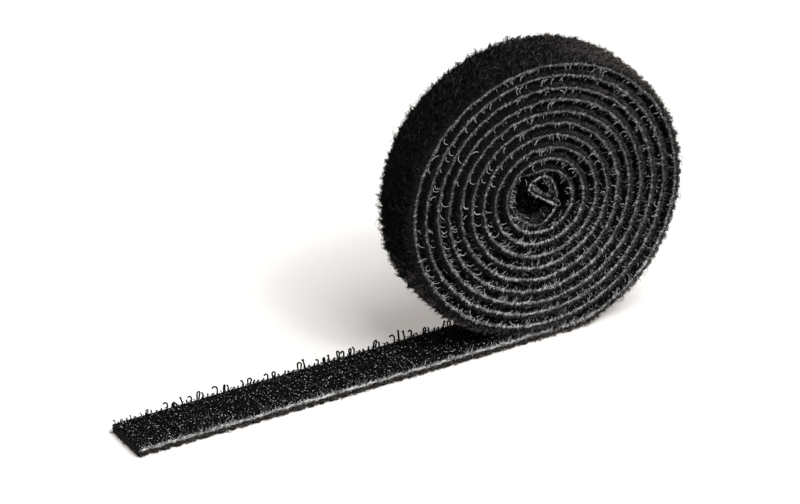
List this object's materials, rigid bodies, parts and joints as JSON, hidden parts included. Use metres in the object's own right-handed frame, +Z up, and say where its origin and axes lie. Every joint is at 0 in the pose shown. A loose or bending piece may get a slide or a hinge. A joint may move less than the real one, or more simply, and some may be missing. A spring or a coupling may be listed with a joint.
{
  "type": "hook and loop tape roll",
  "caption": "Coil of black back-to-back hook and loop tape, fleece outside and hooks inside, wound without a core, with its free end lying flat and bending up.",
  "frame": {"origin": "on the table under the roll's axis, in the flat foot of the outer turn, midway across the tape", "axes": "+Z up; the roll's axis is along Y; the free end of the tape runs out flat along -X"},
  "size_m": [0.1003, 0.01, 0.0506],
  "materials": {
    "loop_fleece": "matte brushed nylon loop pile",
    "bond_film": "matte grey bonding film with fuzzy cut edges",
    "hook_tape": "black woven nylon ground with satin monofilament hooks"
  },
  "bodies": {
    "roll": {"wound_loop_fleece": "loop_fleece", "wound_bond_film": "bond_film", "wound_hook_tape": "hook_tape", "lead_loop_fleece": "loop_fleece", "lead_bond_film": "bond_film", "lead_hook_tape": "hook_tape"},
    "tail_1": {"tail_1_loop_fleece": "loop_fleece", "tail_1_bond_film": "bond_film", "tail_1_hook_tape": "hook_tape"},
    "tail_2": {"tail_2_loop_fleece": "loop_fleece", "tail_2_bond_film": "bond_film", "tail_2_hook_tape": "hook_tape"},
    "tail_3": {"tail_3_loop_fleece": "loop_fleece", "tail_3_bond_film": "bond_film", "tail_3_hook_tape": "hook_tape"}
  },
  "joints": [
    {"name": "tail_bend_1", "type": "hinge", "parent": "roll", "child": "tail_1", "pos_m": [-0.018, 0, 0.00117], "axis": [0, 1, 0], "range_deg": [0, 40]},
    {"name": "tail_bend_2", "type": "hinge", "parent": "tail_1", "child": "tail_2", "pos_m": [-0.037, 0, 0.00117], "axis": [0, 1, 0], "range_deg": [0, 40]},
    {"name": "tail_bend_3", "type": "hinge", "parent": "tail_2", "child": "tail_3", "pos_m": [-0.056, 0, 0.00117], "axis": [0, 1, 0], "range_deg": [0, 40]}
  ]
}
